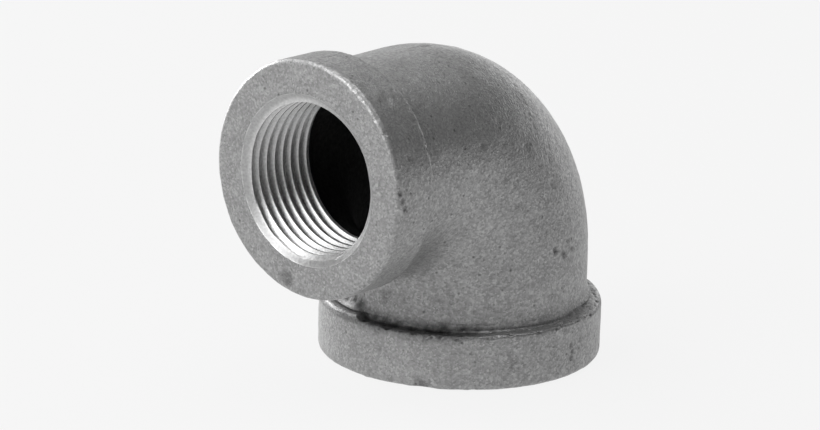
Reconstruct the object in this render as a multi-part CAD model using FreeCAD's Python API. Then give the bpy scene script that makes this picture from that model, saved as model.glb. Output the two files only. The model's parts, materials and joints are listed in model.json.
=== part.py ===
import FreeCAD, Part
import math
import os
from collections import namedtuple

from FreeCAD import Vector

# 90 degree reducing elbow in malleable iron, NPS 1 x 3/4, banded ends with internal taper pipe threads.
# Millimetres. Origin at the centre of the large end's face, +Z up along the large end's axis.
# The small end's axis is level, runs along -Y and crosses the large end's axis LARGE_REACH above the origin.
# The elbow is one casting. Its nodes are the regions of that casting, and they meet face to face:
# a band at each end, a tapped thread wall in each mouth, and the curved body between them.

INCH = 25.4

LARGE_REACH = 1.37 * INCH          # large end's face to the small end's axis
SMALL_REACH = 1.45 * INCH          # small end's face to the large end's axis

End = namedtuple("End", "band_radius band_length band_fillet back_round body_radius cavity_radius "
                        "threads_per_inch mouth_pitch_radius hole_radius thread_length wall_radius")
# body and cavity radius: the skin and the waterway's wall behind the thread
# hole radius: the thread's crests; wall radius: the outside of the wall that the thread is cut in

LARGE = End(band_radius=22.6, band_length=9.8, band_fillet=0.55, back_round=1.8,
            body_radius=20.2, cavity_radius=16.8,
            threads_per_inch=11.5, mouth_pitch_radius=1.23863 * INCH / 2,
            hole_radius=14.95, thread_length=16.6, wall_radius=17.9)
SMALL = End(band_radius=18.7, band_length=8.3, band_fillet=0.9, back_round=0.9,
            body_radius=16.7, cavity_radius=13.6,
            threads_per_inch=14.0, mouth_pitch_radius=0.98887 * INCH / 2,
            hole_radius=11.9, thread_length=14.6, wall_radius=14.5)

RIM_ROUND = 0.9                    # rounding between a band's end face and its side

HEEL_RADIUS = 33.5                 # outside of the bend, in the plane of the two axes
CROTCH_RADIUS = 3.9                # inside of the bend, on the outer skin
CAVITY_CROTCH_RADIUS = 3.6         # inside of the bend, on the waterway's wall
WALL = LARGE.body_radius - LARGE.cavity_radius
BEND_SECTIONS = 12                 # cross sections that the bend's skin is drawn through

THREAD_TAPER = 1 / 32              # radius lost per unit of depth
THREAD_HEIGHT = 0.8                # in pitches, between the truncated crest and root
THREAD_FLAT = 0.038                # in pitches, width of the truncated root
THREAD_ANGLE = 60.0
THREAD_RUNOUT = 1.3                # in pitches, how far the groove is carried past its wall's inner end
COUNTERSINK = 0.1                  # mouth's bevel, past the thread's largest radius
COUNTERSINK_DEPTH = 0.7            # depth at which the mouth's bevel comes down to the thread's crests
THREAD_END_BEVEL = 1.0             # bevel at the inner end of each thread

UP = Vector(0, 0, 1)


def pitch(end):
    return INCH / end.threads_per_inch


def mouth_major_radius(end):
    return end.mouth_pitch_radius + THREAD_HEIGHT * pitch(end) / 2


def revolved(points, turn=360):
    """Solid of revolution about Z. Points are (radius, height), or (middle, end) pairs for an arc."""
    edges = []
    here = Vector(points[0][0], 0, points[0][1])
    for point in points[1:] + points[:1]:
        if isinstance(point[0], tuple):
            middle = Vector(point[0][0], 0, point[0][1])
            there = Vector(point[1][0], 0, point[1][1])
            edges.append(Part.Arc(here, middle, there).toShape())
        else:
            there = Vector(point[0], 0, point[1])
            edges.append(Part.LineSegment(here, there).toShape())
        here = there
    return Part.Face(Part.Wire(edges)).revolve(Vector(), UP, turn)


def corner_arc(centre, radius, start, finish):
    """Arc about centre between two directions in degrees, as (middle, end) points."""
    half = math.radians((start + finish) / 2)
    last = math.radians(finish)
    middle = (centre[0] + radius * math.cos(half), centre[1] + radius * math.sin(half))
    end = (centre[0] + radius * math.cos(last), centre[1] + radius * math.sin(last))
    return middle, end


def at_small_end(shape):
    """Carry a shape drawn on the large end, face at z = 0, over to the small end."""
    moved = shape.copy()
    moved.rotate(Vector(), Vector(1, 0, 0), -90)
    moved.translate(Vector(0, -SMALL_REACH, LARGE_REACH))
    return moved


# bands: thick rims with a flat end face, a rounded front and back edge, and a flat back

def band(end):
    outer = end.band_radius
    rim = (outer - RIM_ROUND, RIM_ROUND)
    back = (outer - end.back_round, end.band_length - end.back_round)
    return revolved([
        (end.wall_radius, 0),
        (rim[0], 0),
        corner_arc(rim, RIM_ROUND, -90, 0),
        (outer, back[1]),
        corner_arc(back, end.back_round, 0, 90),
        (end.wall_radius, end.band_length),
    ])


# threads: the cored hole's wall, bevelled at both ends, with a tapered helical groove cut into it

def cored_wall(end):
    """The wall before tapping, in quarters, so that each turn of the thread's crest is four faces."""
    bevel = mouth_major_radius(end) + COUNTERSINK
    quarter = revolved([
        (bevel, 0),
        (end.wall_radius, 0),
        (end.wall_radius, end.thread_length),
        (end.hole_radius + THREAD_END_BEVEL, end.thread_length),
        (end.hole_radius, end.thread_length - THREAD_END_BEVEL),
        (end.hole_radius, COUNTERSINK_DEPTH),
    ], 90)
    others = []
    for angle in (90, 180, 270):
        other = quarter.copy()
        other.rotate(Vector(), UP, angle)
        others.append(other)
    return quarter.fuse(others)


def groove(end):
    """The tapped groove as a solid: a truncated V swept along a tapered right-hand helix.
    The helix is drawn outward from its narrow inner end, then turned over onto the mouth."""
    step = pitch(end)
    inner_depth = end.thread_length + THREAD_RUNOUT * step
    length = inner_depth + 1.5 * step
    start_radius = mouth_major_radius(end) - inner_depth * THREAD_TAPER
    depth = THREAD_HEIGHT * step
    root_half = THREAD_FLAT * step / 2
    mouth_half = root_half + depth * math.tan(math.radians(THREAD_ANGLE / 2))
    helix = Part.makeLongHelix(step, length, start_radius, math.degrees(math.atan(THREAD_TAPER)))
    outline = Part.makePolygon([
        Vector(start_radius, 0, -root_half),
        Vector(start_radius, 0, root_half),
        Vector(start_radius - depth, 0, mouth_half),
        Vector(start_radius - depth, 0, -mouth_half),
        Vector(start_radius, 0, -root_half),
    ])
    swept = Part.Wire(helix.Edges).makePipeShell([outline], True, True)
    swept.rotate(Vector(), Vector(1, 0, 0), 180)
    swept.translate(Vector(0, 0, inner_depth))
    return swept


def thread(end):
    return cored_wall(end).cut(groove(end))


# body: straight necks behind the bands, joined by a bend whose sections fan out from the crotch

def neck(end, top):
    """Straight stretch of the outer skin from the back of the band up to the bend."""
    low = end.band_length
    hollow = (end.body_radius + end.band_fillet, low + end.band_fillet)
    return revolved([
        (0, low),
        (hollow[0], low),
        corner_arc(hollow, end.band_fillet, 270, 180),
        (end.body_radius, top),
        (0, top),
    ])


def bore(end, top):
    """Room inside the body: the thread's wall, then the cast waterway up to the bend."""
    wall = Part.makeCylinder(end.wall_radius, end.thread_length)
    return wall.fuse(Part.makeCylinder(end.cavity_radius, top))


def crotch_centre(large_radius, small_radius, corner):
    """Centre of the crotch's rounding, as (y, z)."""
    return -large_radius - corner, LARGE_REACH - small_radius - corner


def bend(large_radius, small_radius, corner, heel):
    """Solid bend between two circular sections, drawn through elliptical sections that fan out
    from the centre of the crotch's rounding to the heel's arc and its straight tangents."""
    pivot_y, pivot_z = crotch_centre(large_radius, small_radius, corner)
    heel_y = large_radius - heel
    heel_z = LARGE_REACH + small_radius - heel
    rings = []
    for index in range(BEND_SECTIONS):
        part = index / (BEND_SECTIONS - 1)
        angle = math.pi / 2 * (1 - part)
        out = Vector(0, math.cos(angle), math.sin(angle))
        gap_y = heel_y - pivot_y
        gap_z = heel_z - pivot_z
        along = gap_y * out.y + gap_z * out.z
        reach = along + math.sqrt(along ** 2 + heel ** 2 - gap_y ** 2 - gap_z ** 2)
        if pivot_y + reach * out.y < heel_y:
            reach = (heel_z + heel - pivot_z) / out.z
        if pivot_z + reach * out.z < heel_z:
            reach = (heel_y + heel - pivot_y) / out.y
        swell = part ** 2 * (3 - 2 * part)
        half_width = small_radius + (large_radius - small_radius) * swell
        half_height = max((reach - corner) / 2, half_width)
        centre = Vector(0, pivot_y, pivot_z) + out * ((reach + corner) / 2)
        ring = Part.Ellipse()
        ring.MajorRadius = half_height
        ring.MinorRadius = half_width
        ring.Axis = Vector(1, 0, 0).cross(out)
        ring.XAxis = out
        ring.Center = centre
        rings.append(Part.Wire([ring.toShape()]))
    return Part.makeLoft(rings, True, False)


def body():
    outer_y, outer_z = crotch_centre(LARGE.body_radius, SMALL.body_radius, CROTCH_RADIUS)
    inner_y, inner_z = crotch_centre(LARGE.cavity_radius, SMALL.cavity_radius, CAVITY_CROTCH_RADIUS)
    skin = bend(LARGE.body_radius, SMALL.body_radius, CROTCH_RADIUS, HEEL_RADIUS)
    skin = skin.fuse(neck(LARGE, outer_z))
    skin = skin.fuse(at_small_end(neck(SMALL, SMALL_REACH + outer_y)))
    waterway = bend(LARGE.cavity_radius, SMALL.cavity_radius, CAVITY_CROTCH_RADIUS, HEEL_RADIUS - WALL)
    waterway = waterway.fuse(bore(LARGE, inner_z))
    waterway = waterway.fuse(at_small_end(bore(SMALL, SMALL_REACH + inner_y)))
    return skin.cut(waterway)


nodes = {
    "elbow_body": body(),
    "large_end_band": band(LARGE),
    "small_end_band": at_small_end(band(SMALL)),
    "large_end_thread": thread(LARGE),
    "small_end_thread": at_small_end(thread(SMALL)),
}

os.makedirs("parts", exist_ok=True)
for name, shape in nodes.items():
    print(name, shape.ShapeType, len(shape.Solids), shape.isValid(), round(shape.Volume, 1))
    shape.exportStep("parts/" + name + ".step")
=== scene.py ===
import json
import math
from collections import namedtuple

import bmesh
import bpy
import numpy as np
from mathutils import Matrix, Vector


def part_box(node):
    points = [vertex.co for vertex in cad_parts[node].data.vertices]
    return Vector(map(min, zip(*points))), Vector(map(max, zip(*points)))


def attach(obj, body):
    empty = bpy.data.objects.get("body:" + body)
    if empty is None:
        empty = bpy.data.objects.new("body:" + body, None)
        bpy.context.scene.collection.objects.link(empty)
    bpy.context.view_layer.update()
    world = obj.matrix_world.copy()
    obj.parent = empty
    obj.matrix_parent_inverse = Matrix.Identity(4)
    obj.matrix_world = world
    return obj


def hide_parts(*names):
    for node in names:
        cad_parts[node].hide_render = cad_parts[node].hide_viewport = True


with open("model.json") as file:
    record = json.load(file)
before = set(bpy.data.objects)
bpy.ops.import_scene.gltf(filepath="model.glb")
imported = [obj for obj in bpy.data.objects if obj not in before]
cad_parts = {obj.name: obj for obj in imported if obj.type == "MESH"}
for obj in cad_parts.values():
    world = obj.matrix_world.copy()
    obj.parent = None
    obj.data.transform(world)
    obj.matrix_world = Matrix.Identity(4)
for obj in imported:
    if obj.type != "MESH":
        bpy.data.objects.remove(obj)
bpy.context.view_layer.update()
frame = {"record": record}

# Looks of a 90 degree reducing elbow in malleable iron, built around its CAD frame.
# Lengths are in millimetres, in the frame's own axes, and become metres when a mesh is made.
# Each piece is a closed shell of rings: every ring has the same number of points, and neighbouring
# rings are joined all the way round, the last one with the first.

MM = 0.001
INCH = 25.4


def node_box(node):
    low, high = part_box(node)
    return np.array(low) / MM, np.array(high) / MM


HOLE_RADII = {mount["name"]: mount["dims"].get("r_mm") for mount in frame["record"]["mounts"]}

LARGE_LOW, LARGE_HIGH = node_box("large_end_band")
SMALL_LOW, SMALL_HIGH = node_box("small_end_band")
LARGE_WALL_LOW, LARGE_WALL_HIGH = node_box("large_end_thread")
SMALL_WALL_LOW, SMALL_WALL_HIGH = node_box("small_end_thread")

LARGE_REACH = (SMALL_LOW[2] + SMALL_HIGH[2]) / 2      # large end's face to the small end's axis
SMALL_REACH = -SMALL_LOW[1]                           # small end's face to the large end's axis

End = namedtuple("End", "band_radius band_length band_fillet back_round body_radius cavity_radius "
                        "threads_per_inch mouth_pitch_radius hole_radius thread_length wall_radius")

LARGE = End(band_radius=LARGE_HIGH[0], band_length=LARGE_HIGH[2], band_fillet=0.55, back_round=1.8,
            body_radius=20.2, cavity_radius=16.8,
            threads_per_inch=11.5, mouth_pitch_radius=1.23863 * INCH / 2,
            hole_radius=HOLE_RADII["large_end_thread"],
            thread_length=LARGE_WALL_HIGH[2], wall_radius=LARGE_WALL_HIGH[0])
SMALL = End(band_radius=SMALL_HIGH[0], band_length=SMALL_HIGH[1] - SMALL_LOW[1],
            band_fillet=0.9, back_round=0.9,
            body_radius=16.7, cavity_radius=13.6,
            threads_per_inch=14.0, mouth_pitch_radius=0.98887 * INCH / 2,
            hole_radius=HOLE_RADII["small_end_thread"],
            thread_length=SMALL_WALL_HIGH[1] - SMALL_WALL_LOW[1], wall_radius=SMALL_WALL_HIGH[0])

RIM_ROUND = 0.9                    # rounding between a band's end face and its side
HEEL_RADIUS = 33.5                 # outside of the bend, in the plane of the two axes
CROTCH_RADIUS = 3.9                # inside of the bend, on the outer skin
CAVITY_CROTCH_RADIUS = 3.6         # inside of the bend, on the waterway's wall
WALL = LARGE.body_radius - LARGE.cavity_radius

THREAD_TAPER = 1 / 32              # radius lost per unit of depth
THREAD_HEIGHT = 0.8                # in pitches, between the truncated crest and root
THREAD_FLAT = 0.038                # in pitches, width of the groove's root
THREAD_RUNOUT = 1.3                # in pitches, how far the groove goes past its wall's inner end
THREAD_WIDEST = 0.49               # in pitches, the most that half of the groove's mouth takes
FLANK_SLOPE = math.tan(math.radians(30))
COUNTERSINK = 0.1                  # mouth's bevel, past the thread's largest radius
COUNTERSINK_DEPTH = 0.7            # depth at which that bevel comes down to the thread's crests
THREAD_END_BEVEL = 1.0

# the cast skin's relief
INSET = 0.10                       # the skin's mean depth below the nominal surface
# height, size and seed
CAST_LUMPS = [(0.035, 9.0, 11), (0.030, 3.1, 12), (0.022, 1.3, 13), (0.016, 0.75, 14)]
# depth, size, share of the places that have one, and seed
CAST_PITS = [(0.10, 1.6, 0.22, 21), (0.12, 5.5, 0.10, 31)]
FLASH_HEIGHT = 0.10                # of the parting line, in the plane of the two axes
FLASH_WIDTH = 0.35
FLASH_BREAKS = 4.0                 # size of the stretches where it is there or ground off
FLAW_DEPTH = 0.22
# centre and radius of the larger casting flaws on the +X side
FLAWS = [((20.2, -0.9, 20.6), 0.7), ((20.2, 1.1, 19.6), 0.9), ((19.9, 3.6, 19.8), 0.8),
         ((20.0, 2.2, 21.3), 0.5), ((22.6, 0.6, 5.3), 0.6), ((22.6, 1.0, 4.2), 0.5),
         ((22.6, 0.7, 3.1), 0.7), ((18.6, -36.3, 36.5), 0.5), ((18.7, -35.7, 35.3), 0.6),
         ((18.7, -35.2, 34.0), 0.6)]
MOUTH_FADE = 0.8                   # over which the relief sets in, out from a mouth's bevel
NECK_FADE = 0.5                    # the same, out from the neck that a band goes round
FOOT_FADE = 0.6                    # the same, up a neck from its foot
NECK_DEPTH = 1.5                   # how far below its back a band counts as being at the neck

# the corners between the necks and their bands, where painted shade darkens the skin
SHADE_REACH = 0.55                  # how far the painted shade reaches, away from the crotch's side
CROTCH_SIDE = 0.5                  # the crotch's side starts at this sine of the way round to it
CROTCH_FADE = 0.35
SQUARE_POWER = 6                   # of the superellipse that a crisp back edge is drawn towards
SMALL_EDGE_SHARE = 0.6             # how crisp the small band's back edge is, from 0 to 1
LARGE_SOFT_EDGE = (60, 30, 25)     # middle, half width and fade in degrees, from +X towards +Y
WEB = (-146, 44, 10)               # the same, for a web of metal in the corner at the large neck
WEB_EDGE_SHARE = 0.5               # how crisp the large band's back edge is beside the web
WEB_RISE = 2.2
WEB_REACH = 0.8
WEB_CURVE = 1.3                    # power by which the web's outline bends in, 1 being straight
WEB_PAINTED_SHADE = 0.5                     # painted shade on the ledge beside the web, dimming the edge's highlight
BESIDE_WEB = 0.9                   # that ledge lies at least this far below the neck's foot
LEDGE_DROP = 0.8                   # of the large band's ledge, where its edge is crisp
LEDGE_FADES = (0.3, 0.5)           # out from the neck's hollow, and up the back edge
LEDGE_CHIPS = (0.3, 0.8, 0.7, 61)  # depth, size, share of the places that have one, and seed
SEAM_OVERLAP = 0.02                # a band's neck reaches this far in under the body

# how finely the pieces are drawn
SKIN_STEP = 0.3                    # spacing of the points on the cast skin
ARC_STEP = 0.15
HOLLOW_STEPS = 6
BORE_STEP = 2.0                    # behind the thread's wall
CAVITY_STEP = 1.0
BODY_RING_POINTS = 420
BAND_RING_POINTS = 480
THREAD_RING_POINTS = 320
BEND_RINGS = 150
CAVITY_RINGS = 24
FLANK_STEPS = 9                    # points down each side of the thread's groove
CAST_SHARP_ANGLE = 50
THREAD_SHARP_ANGLE = 35
BAND_ANGLES = np.linspace(0, 2 * np.pi, BAND_RING_POINTS, endpoint=False)
TOUCHING = 1e-3                    # surfaces nearer than this meet

# finishes
METALLIC = 0.7
BEVEL_DULL_DEPTH = 0.3             # the mouth's bevel is dull down to this depth
BEVEL_DULL_FADE = 0.5

# floor and room
FLOOR_SIZE = 6000.0
FLOOR_DROP = 0.05
FLOOR_ALBEDO = 0.035
FLOOR_GLOW = 0.872
ROOM_GLOW = 0.02
HORIZON_GLOW = 0.92                # low all round, where the floor ends
HORIZON_HEIGHTS = (0.02, 0.06)     # sines of the elevations between which it fades to the room's

# camera: seen from the small end's side, a little above and to the right of that end's axis
VIEW_AZIMUTH = 40.88
VIEW_ELEVATION = 16.50
VIEW_ROLL = 1.35
VIEW_DISTANCE = 600.0
VIEW_OFFSET = (-8.57, -12.45)      # of the aim, right and up in the view, from where the axes cross
VIEW_LENS = 167.3
VIEW_SENSOR = 36.0
VIEW_CLIP = (50.0, 20000.0)


# repeatable noise

def hashed(cells, seed):
    """A fixed random number from 0 to 1 for each whole-number cell."""
    x, y, z = (cells[..., axis].astype(np.int64).astype(np.uint64) for axis in range(3))
    mixed = (x * np.uint64(73856093)) ^ (y * np.uint64(19349663)) ^ (z * np.uint64(83492791))
    mixed = mixed + np.uint64(seed * 374761393)
    mixed = (mixed ^ (mixed >> np.uint64(15))) * np.uint64(2246822519)
    mixed = (mixed ^ (mixed >> np.uint64(13))) * np.uint64(3266489917)
    mixed = mixed ^ (mixed >> np.uint64(16))
    return (mixed & np.uint64(0xFFFFFF)).astype(float) / 0xFFFFFF


def noise(points, size, seed):
    """Smooth noise from -1 to 1 with lumps of about that size."""
    scaled = points / size
    cell = np.floor(scaled)
    inside = scaled - cell
    ease = inside ** 3 * (inside * (inside * 6 - 15) + 10)
    total = np.zeros(points.shape[:-1])
    for corner in np.ndindex(2, 2, 2):
        weight = np.prod(np.where(corner, ease, 1 - ease), axis=-1)
        total += weight * hashed(cell + corner, seed)
    return 2 * total - 1


def pits(points, size, share, seed):
    """Round dents from 0 to 1 deep, one in some of the cells of that size."""
    scaled = points / size
    cell = np.floor(scaled)
    depth = np.zeros(points.shape[:-1])
    for step in np.ndindex(3, 3, 3):
        near = cell + np.array(step) - 1
        centre = near + np.stack([hashed(near, seed + axis) for axis in range(3)], axis=-1)
        radius = 0.25 + 0.35 * hashed(near, seed + 4)
        present = hashed(near, seed + 5) < share
        distance = np.linalg.norm(scaled - centre, axis=-1) / radius
        dent = np.clip(1 - distance ** 2, 0, 1) ** 1.5
        depth = np.maximum(depth, dent * present)
    return depth


# shells of rings

def spaced(start, finish, step):
    """Points from start up to but not including finish, no further apart than step."""
    start, finish = np.array(start, float), np.array(finish, float)
    count = max(1, math.ceil(np.linalg.norm(finish - start) / step - 1e-6))
    return [start + (finish - start) * index / count for index in range(count)]


def arc(centre, radius, start, finish):
    """Points of an arc between two directions in degrees, without its last point."""
    count = max(4, math.ceil(abs(math.radians(finish - start)) * radius / ARC_STEP))
    angles = np.radians(np.linspace(start, finish, count + 1)[:-1])
    return [np.array(centre) + radius * np.array([math.cos(a), math.sin(a)]) for a in angles]


def revolved(profile, count):
    """Rings about +Z, from (radius, height) points."""
    angles = np.linspace(0, 2 * np.pi, count, endpoint=False)
    profile = np.array(profile)
    radius, height = profile[:, :1], profile[:, 1:]
    return np.stack([radius * np.cos(angles), radius * np.sin(angles),
                     height + 0 * angles], axis=-1)


def at_small_end(points):
    """Carry points drawn on the large end, face at z = 0, over to the small end."""
    x, y, z = points[..., 0], points[..., 1], points[..., 2]
    return np.stack([x, z - SMALL_REACH, LARGE_REACH - y], axis=-1)


def shell(name, rings, row_after_seam=None):
    """A closed mesh through all the rings. Where a ring's rows wind like a thread, row_after_seam
    says which row each one goes on as, past the last point of its turn."""
    rows, count = rings.shape[:2]
    index = np.arange(rows * count).reshape(rows, count)
    beyond = index[:, 0] if row_after_seam is None else index[row_after_seam, 0]
    across = np.concatenate([index, beyond[:, None]], axis=1)
    following = np.roll(across, -1, axis=0)
    faces = np.stack([across[:, :-1], across[:, 1:], following[:, 1:], following[:, :-1]], axis=-1)
    mesh = bpy.data.meshes.new(name)
    mesh.from_pydata((rings.reshape(-1, 3) * MM).tolist(), [], faces.reshape(-1, 4).tolist())
    piece = bpy.data.objects.new(name, mesh)
    bpy.context.scene.collection.objects.link(piece)
    return piece


def cleaned(piece):
    """Merge the points that fell together and turn every face outward."""
    built = bmesh.new()
    built.from_mesh(piece.data)
    bmesh.ops.remove_doubles(built, verts=built.verts, dist=1e-7)
    bmesh.ops.dissolve_degenerate(built, edges=built.edges, dist=1e-7)
    bmesh.ops.recalc_face_normals(built, faces=built.faces)
    built.to_mesh(piece.data)
    built.free()


def smoothed(piece, sharp_angle):
    piece.data.polygons.foreach_set("use_smooth", np.ones(len(piece.data.polygons), bool))
    piece.data.set_sharp_from_angle(angle=math.radians(sharp_angle))
    piece.data.update()


def points_of(piece):
    flat = np.empty(len(piece.data.vertices) * 3, np.float32)
    piece.data.vertices.foreach_get("co", flat)
    return flat.reshape(-1, 3).astype(float) / MM


def outward_of(piece):
    flat = np.empty(len(piece.data.vertices) * 3, np.float32)
    piece.data.vertex_normals.foreach_get("vector", flat)
    return flat.reshape(-1, 3).astype(float)


def kept(piece, name, values):
    """Keep a number for each point, for the piece's material to read."""
    layer = piece.data.attributes.new(name, "FLOAT", "POINT")
    layer.data.foreach_set("value", values.astype(np.float32))


def pushed_in(piece, depth, outward):
    """Lower each point below its nominal surface."""
    moved = points_of(piece) - outward * depth[:, None]
    piece.data.vertices.foreach_set("co", (moved * MM).astype(np.float32).ravel())
    piece.data.update()
    kept(piece, "relief", depth)


# the cast skin's relief

def faded(distance, width):
    """0 at a distance of 0, easing to 1 at the width."""
    part = np.clip(distance / width, 0, 1)
    return part * part * (3 - 2 * part)


def corner_painted_shade(end, radius, above_foot, to_crotch, points):
    """How much painted shade darkens each point in the corner between a neck and its band, standing
    in for the shadow that falls there. It is thickest and reaches furthest on the crotch's side,
    where to_crotch nears the radius."""
    crotch_side = faded(to_crotch / radius - CROTCH_SIDE, CROTCH_FADE)
    outward = np.maximum(radius - end.body_radius, 0) / (1 + 1.5 * crotch_side)
    away = np.hypot(outward, above_foot) / (SHADE_REACH * (1 + 1.6 * crotch_side))
    patches = 0.75 + (0.5 - 0.25 * crotch_side) * noise(points, 0.8, 51)
    return np.exp(-away ** 2) * patches * (0.6 + 0.4 * crotch_side)


def cast_depth(points):
    """How far the sand-cast skin lies below its nominal surface."""
    depth = np.full(points.shape[:-1], INSET)
    for height, size, seed in CAST_LUMPS:
        depth += height * noise(points, size, seed)
    for deepest, size, share, seed in CAST_PITS:
        depth += deepest * pits(points, size, share, seed)
    flash = np.exp(-(points[..., 0] / FLASH_WIDTH) ** 2)
    left_standing = faded(noise(points, FLASH_BREAKS, 41) + 0.2, 0.5)
    depth -= FLASH_HEIGHT * flash * left_standing
    for centre, radius in FLAWS:
        away = np.linalg.norm(points - centre, axis=-1) / radius
        depth += FLAW_DEPTH * np.clip(1 - away ** 2, 0, 1)
    return np.maximum(depth, 0)


# bands

def band_profile(end):
    """Closed outline of a band, from the mouth's bevel over the face, rim, side and back."""
    outer, wall = end.band_radius, end.wall_radius
    bevel = mouth_bevel_radius(end)
    rim = (outer - RIM_ROUND, RIM_ROUND)
    back = (outer - end.back_round, end.band_length - end.back_round)
    points = spaced((bevel, 0), (rim[0], 0), SKIN_STEP)
    points += arc(rim, RIM_ROUND, -90, 0)
    points += spaced((outer, rim[1]), (outer, back[1]), SKIN_STEP)
    points += arc(back, end.back_round, 0, 90)
    foot = end.body_radius + end.band_fillet
    points += spaced((back[0], end.band_length), (foot, end.band_length), SKIN_STEP)
    hollow = [end.body_radius + end.band_fillet * (1 - math.sin(turn))
              for turn in np.linspace(0, math.pi / 2, HOLLOW_STEPS + 1)]
    points += [np.array([radius, end.band_length]) for radius in hollow]
    points += spaced((end.body_radius - SEAM_OVERLAP, end.band_length),
                     (wall, end.band_length), SKIN_STEP)
    return points + [np.array([wall, end.band_length]), np.array([wall, wall - bevel])]


def crisped(rings, end, share, drop):
    """Draw a band's rounded back edge out towards a square corner, by a share of 0 to 1, and lower
    the ledge behind it by the drop, down to a hollow at the neck. Both may vary with the angle."""
    radius, height = np.hypot(rings[..., 0], rings[..., 1]), rings[..., 2]
    corner = (end.band_radius - end.back_round, end.band_length - end.back_round)
    out = np.clip((radius - corner[0]) / end.back_round, 0, 1)
    up = np.clip((height - corner[1]) / end.back_round, 0, 1)
    reach = (out ** SQUARE_POWER + up ** SQUARE_POWER + 1e-12) ** (-1 / SQUARE_POWER)
    stretch = np.where((out > 0) & (up > 0), (reach - 1) * share, 0)
    wider = 1 + stretch * out * end.back_round / radius
    inward = np.clip((end.body_radius + end.band_fillet - radius) / end.band_fillet, 0, 1)
    rise = end.band_fillet * (1 - np.sqrt(1 - inward ** 2))
    lowered = np.where(radius > end.body_radius - SEAM_OVERLAP / 2, np.maximum(drop - rise, 0), 0)
    upper = np.clip(2 * height / end.band_length - 1, 0, 1)
    return np.stack([rings[..., 0] * wider, rings[..., 1] * wider,
                     height + stretch * up * end.back_round - lowered * upper], axis=-1)


def stretch_share(angles, stretch):
    """1 along a stretch of a ring's angles, fading to 0 past both its ends."""
    middle, half_width, fade = stretch
    from_middle = np.abs((np.degrees(angles) - middle + 180) % 360 - 180)
    return 1 - faded(from_middle - half_width, fade)


def large_edge_share(angles):
    """The large band's back edge is crisp but for a soft stretch behind +X and the web's side."""
    share = 1 - stretch_share(angles, LARGE_SOFT_EDGE)
    return share * (1 - (1 - WEB_EDGE_SHARE) * stretch_share(angles, WEB))


def large_foot_rise(angles):
    """How far above the large band's back the neck's foot is: halfway up the web, or down at the
    lowered ledge."""
    web = stretch_share(angles, WEB)
    return WEB_RISE / 2 * web - LEDGE_DROP * large_edge_share(angles) * (1 - web)


def band(name, end, place, edge_share, foot_rise, crotch_sign):
    """A band. How crisp its back edge is and how far its neck's foot is raised are numbers, or are
    given at each of BAND_ANGLES. On the crotch's side, local y has the sign of crotch_sign."""
    local = crisped(revolved(band_profile(end), BAND_RING_POINTS), end, edge_share,
                    np.maximum(-foot_rise, 0))
    piece = shell(name, place(local))
    cleaned(piece)
    radius = np.hypot(local[..., 0], local[..., 1]).ravel()
    height = local[..., 2].ravel()
    to_crotch = crotch_sign * local[..., 1].ravel()
    from_mouth = radius - mouth_bevel_radius(end)
    from_neck = np.hypot(np.maximum(radius - end.body_radius, 0),
                         np.maximum(end.band_length - NECK_DEPTH - height, 0))
    skin = faded(from_mouth, MOUTH_FADE) * faded(from_neck, NECK_FADE)
    skin *= radius > end.wall_radius + TOUCHING
    points = points_of(piece)
    above_foot = (local[..., 2] - end.band_length - foot_rise).ravel()
    on_ledge = faded(radius - end.body_radius - end.band_fillet, LEDGE_FADES[0])
    on_ledge *= faded(height - end.band_length + end.back_round, LEDGE_FADES[1])
    beside_web = on_ledge * (above_foot < -BESIDE_WEB)
    # painted shade in the neck's corner: darkening that stands in for the shadow there
    painted_shade = corner_painted_shade(end, radius, above_foot, to_crotch, points)
    # beside the web, more painted shade dims the back edge's highlight
    kept(piece, "painted_shade", np.maximum(painted_shade, WEB_PAINTED_SHADE * beside_web))
    deepest, size, share, seed = LEDGE_CHIPS
    chips = deepest * pits(points, size, share, seed) * (on_ledge - beside_web)
    pushed_in(piece, cast_depth(points) * skin + chips, outward_of(piece))
    smoothed(piece, CAST_SHARP_ANGLE)
    return piece


# threads

def pitch(end):
    return INCH / end.threads_per_inch


def mouth_major_radius(end):
    return end.mouth_pitch_radius + THREAD_HEIGHT * pitch(end) / 2


def mouth_bevel_radius(end):
    return mouth_major_radius(end) + COUNTERSINK


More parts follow.
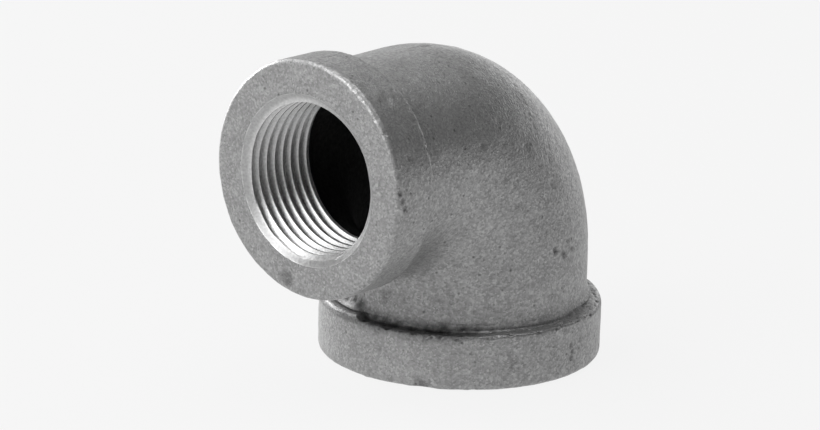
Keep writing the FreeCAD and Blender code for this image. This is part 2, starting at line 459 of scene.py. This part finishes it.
def thread(name, end, place):
    """The tapped wall: a tapered right-hand groove, bevelled at the mouth and at its inner end."""
    step = pitch(end)
    length = end.thread_length
    bevel = mouth_bevel_radius(end)
    root_half = THREAD_FLAT * step / 2
    flank = np.linspace(0, 1, FLANK_STEPS + 1)
    side = np.concatenate([-np.ones(FLANK_STEPS + 1), np.ones(FLANK_STEPS + 1), [1.0]])
    rise = np.concatenate([flank[::-1], flank, [np.nan]])
    rows_a_turn = len(side)
    turns = np.arange(-2, math.ceil(length / step) + 2)
    angles = np.linspace(0, 2 * np.pi, THREAD_RING_POINTS, endpoint=False)
    first_depth = (length + THREAD_RUNOUT * step) % step
    root_depth = first_depth + step * (turns[:, None, None] + angles[None, None, :] / (2 * np.pi))
    root_radius = mouth_major_radius(end) - root_depth * THREAD_TAPER
    groove_half = root_half + np.maximum(root_radius - end.hole_radius, 0) * FLANK_SLOPE
    groove_half = np.minimum(groove_half, step * THREAD_WIDEST)
    away = root_half + rise[None, :, None] * (groove_half - root_half)
    away = np.where(np.isnan(away), step / 2, away)
    depth = (root_depth + side[None, :, None] * away).reshape(-1, len(angles))
    groove = (root_radius - (away - root_half) / FLANK_SLOPE).reshape(-1, len(angles))
    # rows past either end of the wall lie on its last circle
    depth = np.clip(depth, 0, length)
    radius = np.maximum(groove, end.hole_radius)
    radius = np.maximum(radius, bevel - depth * (bevel - end.hole_radius) / COUNTERSINK_DEPTH)
    radius = np.maximum(radius, end.hole_radius + THREAD_END_BEVEL - (length - depth))
    inner = np.stack([radius * np.cos(angles), radius * np.sin(angles), depth], axis=-1)
    outer = revolved([(end.wall_radius, length), (end.wall_radius, end.wall_radius - bevel)],
                     len(angles))
    rings = np.concatenate([inner, outer])
    last = len(inner) - 1
    rows = np.arange(len(rings))
    after_seam = np.where(rows <= last, np.minimum(rows + rows_a_turn, last), rows)
    piece = shell(name, place(rings), after_seam)
    tapped = np.ones(rings.shape[:2])
    tapped[:len(inner)] = np.where(depth > 0, faded(depth - BEVEL_DULL_DEPTH, BEVEL_DULL_FADE), 1)
    kept(piece, "tapped", tapped.ravel())
    cleaned(piece)
    smoothed(piece, THREAD_SHARP_ANGLE)
    return piece


# body

def ring(centre, out, half_height, half_width):
    """An elliptical ring round the waterway: out points from the crotch towards the heel."""
    angles = np.linspace(0, 2 * np.pi, BODY_RING_POINTS, endpoint=False)
    across = np.array([1.0, 0.0, 0.0])
    return (np.array(centre) + half_height * np.cos(angles)[:, None] * np.array(out)
            + half_width * np.sin(angles)[:, None] * across)


def crotch_centre(large_radius, small_radius, corner):
    return -large_radius - corner, LARGE_REACH - small_radius - corner


def bend_rings(large_radius, small_radius, corner, heel, count):
    """Rings from the small end's neck to the large end's, fanned out from the crotch's centre."""
    pivot_y, pivot_z = crotch_centre(large_radius, small_radius, corner)
    heel_y = large_radius - heel
    heel_z = LARGE_REACH + small_radius - heel
    rings = []
    for part in np.linspace(0, 1, count):
        angle = math.pi / 2 * (1 - part)
        out = np.array([0, math.cos(angle), math.sin(angle)])
        gap_y, gap_z = heel_y - pivot_y, heel_z - pivot_z
        along = gap_y * out[1] + gap_z * out[2]
        reach = along + math.sqrt(along ** 2 + heel ** 2 - gap_y ** 2 - gap_z ** 2)
        if pivot_y + reach * out[1] < heel_y:
            reach = (heel_z + heel - pivot_z) / out[2]
        if pivot_z + reach * out[2] < heel_z:
            reach = (heel_y + heel - pivot_y) / out[1]
        swell = part ** 2 * (3 - 2 * part)
        half_width = small_radius + (large_radius - small_radius) * swell
        centre = np.array([0, pivot_y, pivot_z]) + out * (reach + corner) / 2
        rings.append(ring(centre, out, (reach - corner) / 2, half_width))
    return rings


def small_neck_ring(radius, depth):
    return ring((0, depth - SMALL_REACH, LARGE_REACH), (0, 0, 1), radius, radius)


def large_neck_ring(radius, depth):
    return ring((0, 0, depth), (0, 1, 0), radius, radius)


def neck_profile(end, top):
    """Skin from the foot of the band's fillet up the straight neck."""
    hollow = (end.body_radius + end.band_fillet, end.band_length + end.band_fillet)
    points = arc(hollow, end.band_fillet, 270, 180)
    return points + spaced((end.body_radius, hollow[1]), (end.body_radius, top), SKIN_STEP)


def bore_profile(end, top):
    """Room for the thread's wall, then the cast waterway up to the bend."""
    wall, cavity, step_up = end.wall_radius, end.cavity_radius, end.thread_length
    return (spaced((wall, end.band_length), (wall, step_up), BORE_STEP)
            + [np.array([wall, step_up])]
            + spaced((cavity, step_up), (cavity, top), CAVITY_STEP))


def with_web(skin):
    """Fit the large neck's foot to its band: no fillet where the edge is crisp, and the web."""
    angles = np.arctan2(skin[..., 1], skin[..., 0])
    flare = np.hypot(skin[..., 0], skin[..., 1]) / LARGE.body_radius - 1
    at_foot = (skin[..., 2] < LARGE.band_length + LARGE.band_fillet) & (flare > 0)
    remaining = flare * (1 - large_edge_share(angles))
    wider = np.where(at_foot, (1 + remaining) / (1 + flare), 1)
    below_top = np.clip(1 - (skin[..., 2] - LARGE.band_length) / WEB_RISE, 0, 1)
    reach = WEB_REACH * below_top ** WEB_CURVE * stretch_share(angles, WEB)
    wider *= 1 + reach / LARGE.body_radius
    return skin * np.stack([wider, wider, np.ones(wider.shape)], axis=-1)


def body(name):
    outer_y, outer_z = crotch_centre(LARGE.body_radius, SMALL.body_radius, CROTCH_RADIUS)
    inner_y, inner_z = crotch_centre(LARGE.cavity_radius, SMALL.cavity_radius, CAVITY_CROTCH_RADIUS)
    skin = [small_neck_ring(*point) for point in neck_profile(SMALL, SMALL_REACH + outer_y)]
    skin += bend_rings(LARGE.body_radius, SMALL.body_radius, CROTCH_RADIUS, HEEL_RADIUS, BEND_RINGS)
    skin += [large_neck_ring(*point) for point in reversed(neck_profile(LARGE, outer_z))]
    waterway = [large_neck_ring(*point) for point in bore_profile(LARGE, inner_z)]
    waterway += bend_rings(LARGE.cavity_radius, SMALL.cavity_radius, CAVITY_CROTCH_RADIUS,
                           HEEL_RADIUS - WALL, CAVITY_RINGS)[::-1]
    waterway += [small_neck_ring(*point)
                 for point in reversed(bore_profile(SMALL, SMALL_REACH + inner_y))]
    piece = shell(name, np.concatenate([with_web(np.array(skin)), waterway]))
    cleaned(piece)
    points = points_of(piece)
    x, y, up = points[:, 0], points[:, 1], points[:, 2]
    along, lift = y + SMALL_REACH, up - LARGE_REACH
    above_large_foot = up - LARGE.band_length - large_foot_rise(np.arctan2(y, x))
    above_small_foot = along - SMALL.band_length
    # painted shade in the corners at the feet of both necks
    kept(piece, "painted_shade", np.maximum(
        corner_painted_shade(LARGE, np.hypot(x, y), above_large_foot, -y, points),
        corner_painted_shade(SMALL, np.hypot(x, lift), above_small_foot, -lift, points)))
    is_skin = np.arange(len(points)) < len(skin) * BODY_RING_POINTS
    fade = faded(up - LARGE.band_length, FOOT_FADE) * faded(above_small_foot, FOOT_FADE) * is_skin
    pushed_in(piece, cast_depth(points) * fade, outward_of(piece))
    smoothed(piece, CAST_SHARP_ANGLE)
    faces_of_skin = (len(skin) - 1) * BODY_RING_POINTS
    inside = (np.arange(len(piece.data.polygons)) >= faces_of_skin).astype(np.int32)
    piece.data.polygons.foreach_set("material_index", inside)
    return piece


# materials

def material(name):
    made = bpy.data.materials.new(name)
    made.use_nodes = True
    tree = made.node_tree
    return made, tree, tree.nodes["Principled BSDF"]


def texture_node(tree, kind, scale):
    place = tree.nodes.get("Place") or tree.nodes.new("ShaderNodeTexCoord")
    place.name = "Place"
    node = tree.nodes.new(kind)
    node.inputs["Scale"].default_value = scale
    tree.links.new(place.outputs["Object"], node.inputs["Vector"])
    return node


def noise_node(tree, scale, detail=2.0, roughness=0.5):
    node = texture_node(tree, "ShaderNodeTexNoise", scale)
    node.inputs["Detail"].default_value = detail
    node.inputs["Roughness"].default_value = roughness
    return node.outputs["Fac"]


def attribute_node(tree, name):
    node = tree.nodes.new("ShaderNodeAttribute")
    node.attribute_name = name
    return node.outputs["Fac"]


def ramp_node(tree, source, stops):
    node = tree.nodes.new("ShaderNodeValToRGB")
    ramp = node.color_ramp
    while len(ramp.elements) < len(stops):
        ramp.elements.new(0.5)
    for element, (position, grey) in zip(ramp.elements, stops):
        element.position = position
        element.color = (grey, grey, grey, 1)
    tree.links.new(source, node.inputs["Fac"])
    return node.outputs["Color"]


def math_node(tree, operation, first, second):
    node = tree.nodes.new("ShaderNodeMath")
    node.operation = operation
    for socket, value in zip(node.inputs, (first, second)):
        if isinstance(value, (int, float)):
            socket.default_value = value
        else:
            tree.links.new(value, socket)
    return node.outputs["Value"]


def bump_node(tree, height, distance, below=None):
    node = tree.nodes.new("ShaderNodeBump")
    node.inputs["Distance"].default_value = distance * MM
    tree.links.new(height, node.inputs["Height"])
    if below is not None:
        tree.links.new(below, node.inputs["Normal"])
    return node.outputs["Normal"]


def cast_iron():
    """Grey sand-cast skin: grains with a tone each, dark pores, darker in the deeper dents, and
    painted shade in the corners at the necks.
    """
    made, tree, shader = material("sand_cast_skin")
    mottle = noise_node(tree, 260, 3.0, 0.6)
    grain = noise_node(tree, 1900, 2.0, 0.6)
    sand = texture_node(tree, "ShaderNodeTexVoronoi", 3300)
    pores = texture_node(tree, "ShaderNodeTexVoronoi", 430)
    glints = texture_node(tree, "ShaderNodeTexVoronoi", 1000)
    tone = math_node(tree, "ADD", math_node(tree, "MULTIPLY", grain, 0.35),
                     math_node(tree, "MULTIPLY", sand.outputs["Color"], 0.40))
    tone = math_node(tree, "ADD", tone, math_node(tree, "MULTIPLY", mottle, 0.25))
    grey = ramp_node(tree, tone, [(0.28, 0.215), (0.45, 0.280), (0.56, 0.325), (0.74, 0.430)])
    dark = ramp_node(tree, pores.outputs["Distance"], [(0.05, 0.45), (0.13, 1.0)])
    light = ramp_node(tree, glints.outputs["Distance"], [(0.06, 0.45), (0.12, 0.0)])
    # darker where the relief sinks deepest
    dented = ramp_node(tree, attribute_node(tree, "relief"), [(0.16, 1.0), (0.24, 0.6)])
    # painted shade from the corners at the necks darkens the base colour
    corner_shade = ramp_node(tree, attribute_node(tree, "painted_shade"), [(0.1, 1.0), (0.9, 0.12)])
    colour = math_node(tree, "MULTIPLY", math_node(tree, "MULTIPLY", grey, dark),
                       math_node(tree, "MULTIPLY", dented, corner_shade))
    tree.links.new(math_node(tree, "ADD", colour, math_node(tree, "MULTIPLY", light, grey)),
                   shader.inputs["Base Color"])
    tree.links.new(ramp_node(tree, tone, [(0.3, 0.52), (0.7, 0.40)]), shader.inputs["Roughness"])
    coarse = bump_node(tree, grain, 0.05)
    fine = bump_node(tree, sand.outputs["Distance"], 0.035, coarse)
    tree.links.new(fine, shader.inputs["Normal"])
    shader.inputs["Metallic"].default_value = METALLIC
    return made


def tapped_iron():
    """Cut metal, a little dull, and darker on the bevel at the mouth."""
    made, tree, shader = material("cut_thread")
    scratch = noise_node(tree, 2600, 2.0)
    tapped = attribute_node(tree, "tapped")
    share = ramp_node(tree, tapped, [(0.0, 0.62), (1.0, 1.0)])
    bright = ramp_node(tree, scratch, [(0.3, 0.50), (0.7, 0.68)])
    tree.links.new(math_node(tree, "MULTIPLY", bright, share), shader.inputs["Base Color"])
    tree.links.new(ramp_node(tree, scratch, [(0.3, 0.32), (0.7, 0.42)]), shader.inputs["Roughness"])
    tree.links.new(bump_node(tree, scratch, 0.02), shader.inputs["Normal"])
    shader.inputs["Metallic"].default_value = METALLIC
    return made


def dark_scale_and_painted_shade():
    """The dark oxide and core sand that stay in the waterway, darkened to near black as painted
    shade for the unlit inside.
    """
    made, tree, shader = material("dark_scale_and_painted_shade")
    grain = noise_node(tree, 1500, 3.0, 0.6)
    # near-black base colour: partly dark scale, partly painted shade
    tree.links.new(ramp_node(tree, grain, [(0.3, 0.008), (0.7, 0.022)]), shader.inputs["Base Color"])
    tree.links.new(ramp_node(tree, grain, [(0.3, 0.95), (0.7, 0.85)]), shader.inputs["Roughness"])
    tree.links.new(bump_node(tree, grain, 0.15), shader.inputs["Normal"])
    shader.inputs["Specular IOR Level"].default_value = 0.15
    return made


# pieces

def at_large_end(points):
    return points


def finished(piece, slot, node, *coats):
    for coat in coats:
        piece.data.materials.append(coat)
    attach(piece, "root")
    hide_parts(node)


CAST = cast_iron()
TAPPED = tapped_iron()
SCALE_AND_SHADE = dark_scale_and_painted_shade()

finished(body("cast_body"), "as_cast_iron", "elbow_body", CAST, SCALE_AND_SHADE)
finished(band("cast_large_band", LARGE, at_large_end, large_edge_share(BAND_ANGLES),
              large_foot_rise(BAND_ANGLES), -1),
         "as_cast_iron", "large_end_band", CAST)
finished(band("cast_small_band", SMALL, at_small_end, SMALL_EDGE_SHARE, 0.0, 1),
         "as_cast_iron", "small_end_band", CAST)
finished(thread("tapped_large_end", LARGE, at_large_end), "tapped_iron", "large_end_thread", TAPPED)
finished(thread("tapped_small_end", SMALL, at_small_end), "tapped_iron", "small_end_thread", TAPPED)


# stage, lights and camera

def direction(azimuth, elevation):
    """Unit vector from the object towards that side: azimuth 0 is -Y and 90 is +X."""
    a, e = math.radians(azimuth), math.radians(elevation)
    return Vector((math.sin(a) * math.cos(e), -math.cos(a) * math.cos(e), math.sin(e)))


def lay_floor():
    mesh = bpy.data.meshes.new("floor")
    half = FLOOR_SIZE / 2 * MM
    mesh.from_pydata([(-half, -half, 0), (half, -half, 0), (half, half, 0), (-half, half, 0)],
                     [], [(0, 1, 2, 3)])
    floor = bpy.data.objects.new("floor", mesh)
    floor.location.z = -FLOOR_DROP * MM
    bpy.context.scene.collection.objects.link(floor)
    made, tree, shader = material("pale_floor")
    shader.inputs["Base Color"].default_value = (FLOOR_ALBEDO, FLOOR_ALBEDO, FLOOR_ALBEDO, 1)
    shader.inputs["Roughness"].default_value = 1.0
    shader.inputs["Specular IOR Level"].default_value = 0.0
    shader.inputs["Emission Color"].default_value = (1, 1, 1, 1)
    shader.inputs["Emission Strength"].default_value = FLOOR_GLOW
    floor.data.materials.append(made)


Softbox = namedtuple("Softbox", "name azimuth elevation distance size power")

SOFTBOXES = [
    Softbox("key", -12, 31, 900, 600, 5.7),
    Softbox("front_left", -60, 55, 900, 450, 2.2),
    Softbox("front_high", -30, 45, 900, 450, 1.3),
    Softbox("right_high", 90, 70, 900, 450, 1.6),
    Softbox("back_high", -170, 75, 900, 450, 2.2),
    Softbox("left_low", -97, 9, 900, 500, 8.2),
    Softbox("back_left", -130, 30, 900, 500, 0.55),
    Softbox("back_low", -170, 10, 900, 500, 0.8),
    Softbox("back_left_low", -150, 5, 900, 400, 0.65),
    Softbox("back_right_low", 170, 5, 900, 400, 0.4),
]


def hang(softbox):
    light = bpy.data.lights.new(softbox.name, "AREA")
    light.shape = "SQUARE"
    light.size = softbox.size * MM
    light.energy = softbox.power
    lamp = bpy.data.objects.new(softbox.name, light)
    towards = direction(softbox.azimuth, softbox.elevation)
    lamp.location = Vector((0, 0, LARGE_REACH * MM)) + towards * softbox.distance * MM
    lamp.rotation_mode = "QUATERNION"
    lamp.rotation_quaternion = towards.to_track_quat("Z", "Y")
    bpy.context.scene.collection.objects.link(lamp)


def light_room():
    world = bpy.data.worlds.new("studio")
    world.use_nodes = True
    tree = world.node_tree
    backdrop = tree.nodes["Background"]
    backdrop.inputs["Color"].default_value = (1, 1, 1, 1)
    place = tree.nodes.new("ShaderNodeTexCoord")
    axes = tree.nodes.new("ShaderNodeSeparateXYZ")
    tree.links.new(place.outputs["Generated"], axes.inputs["Vector"])
    glow = ramp_node(tree, axes.outputs["Z"], [(HORIZON_HEIGHTS[0], HORIZON_GLOW),
                                               (HORIZON_HEIGHTS[1], ROOM_GLOW)])
    tree.links.new(glow, backdrop.inputs["Strength"])
    bpy.context.scene.world = world
    for softbox in SOFTBOXES:
        hang(softbox)


def aim_camera():
    back = direction(VIEW_AZIMUTH, VIEW_ELEVATION)
    level = direction(VIEW_AZIMUTH + 90, 0)
    upright = back.cross(level)
    roll = math.radians(VIEW_ROLL)
    right = level * math.cos(roll) + upright * math.sin(roll)
    up = upright * math.cos(roll) - level * math.sin(roll)
    aim = Vector((0, 0, LARGE_REACH)) + right * VIEW_OFFSET[0] + up * VIEW_OFFSET[1]
    camera = bpy.data.objects.new("camera", bpy.data.cameras.new("camera"))
    camera.data.lens = VIEW_LENS
    camera.data.sensor_width = VIEW_SENSOR
    camera.data.clip_start = VIEW_CLIP[0] * MM
    camera.data.clip_end = VIEW_CLIP[1] * MM
    place = Matrix((right, up, back)).transposed().to_4x4()
    place.translation = (aim + back * VIEW_DISTANCE) * MM
    camera.matrix_world = place
    bpy.context.scene.collection.objects.link(camera)
    bpy.context.scene.camera = camera


lay_floor()
light_room()
aim_camera()
bpy.context.scene.view_settings.view_transform = "Standard"
